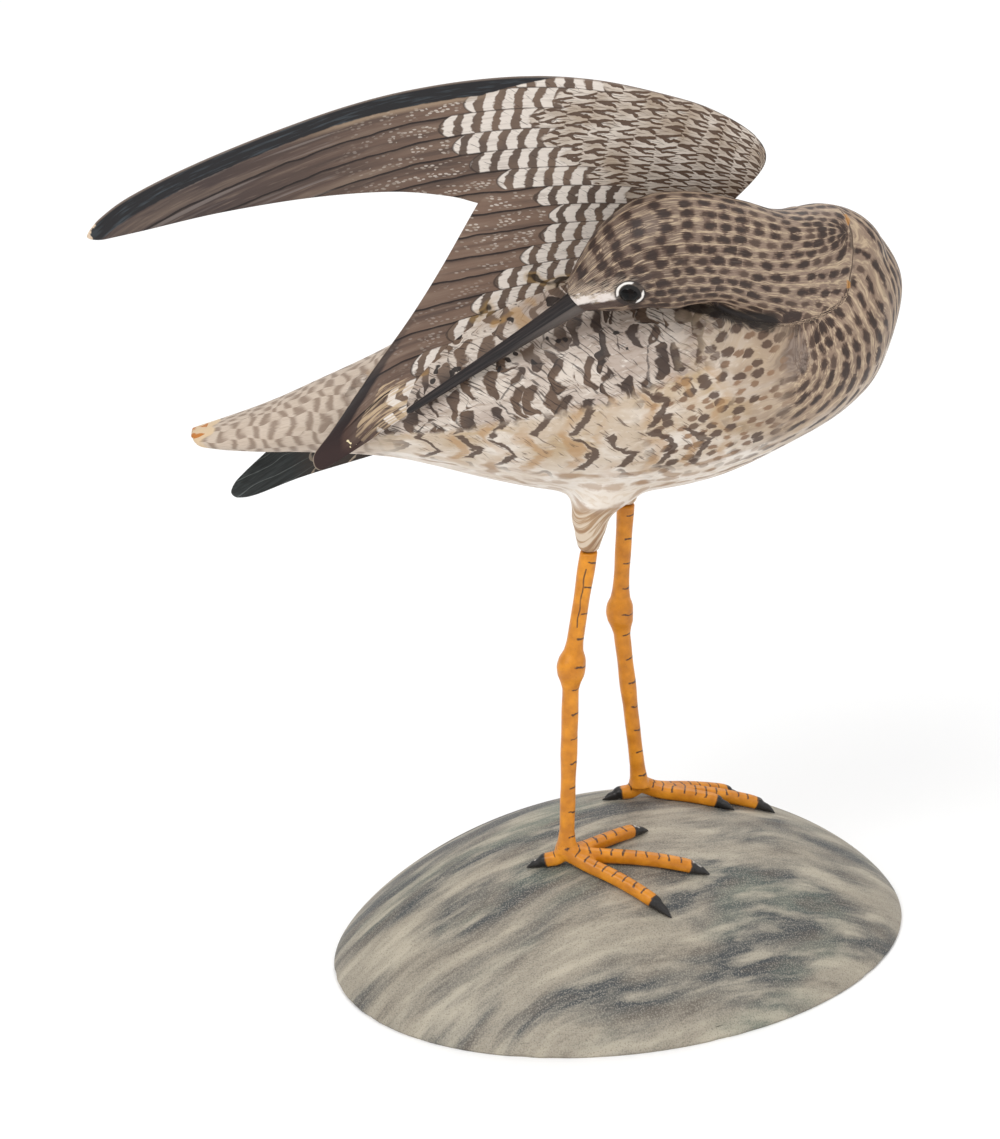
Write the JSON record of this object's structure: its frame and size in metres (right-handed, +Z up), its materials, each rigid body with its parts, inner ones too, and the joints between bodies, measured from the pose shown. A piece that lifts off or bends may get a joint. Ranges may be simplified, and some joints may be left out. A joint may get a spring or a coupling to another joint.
{
  "type": "shorebird decoy",
  "caption": "Carved and painted wooden shorebird preening under its raised wing, standing on a domed oval base as a shelf ornament",
  "frame": {"origin": "centre of the base's flat underside", "axes": "+Z up; +X the way the breast faces; the raised wing and the bent neck are on the -Y side"},
  "size_m": [0.2404, 0.148, 0.2822],
  "materials": {
    "body_paint": "carved softwood, oil painted cream and buff with brown feather marks, satin",
    "head_paint": "carved softwood, oil painted buff with rows of dark brown spots, satin",
    "bill_paint": "slender hardwood spline, painted slate black, satin",
    "eye_glass": "black glass eye, glossy",
    "wing_paint": "thin carved blade, painted grey brown feathers and barred pale coverts, satin",
    "folded_wing_paint": "thin carved blade, painted dark brown with pale notches, satin",
    "leg_paint": "carved leg, painted orange yellow with black ticks, satin",
    "base_paint": "turned and carved dome, painted in grey strokes over a sandy ground, matte"
  },
  "bodies": {
    "root": {"body": "body_paint", "head_and_neck": "head_paint", "bill": "bill_paint", "left_eye": "eye_glass", "right_eye": "eye_glass", "raised_wing": "wing_paint", "folded_wing": "folded_wing_paint", "right_leg": "leg_paint", "left_leg": "leg_paint", "base": "base_paint"}
  },
  "joints": []
}
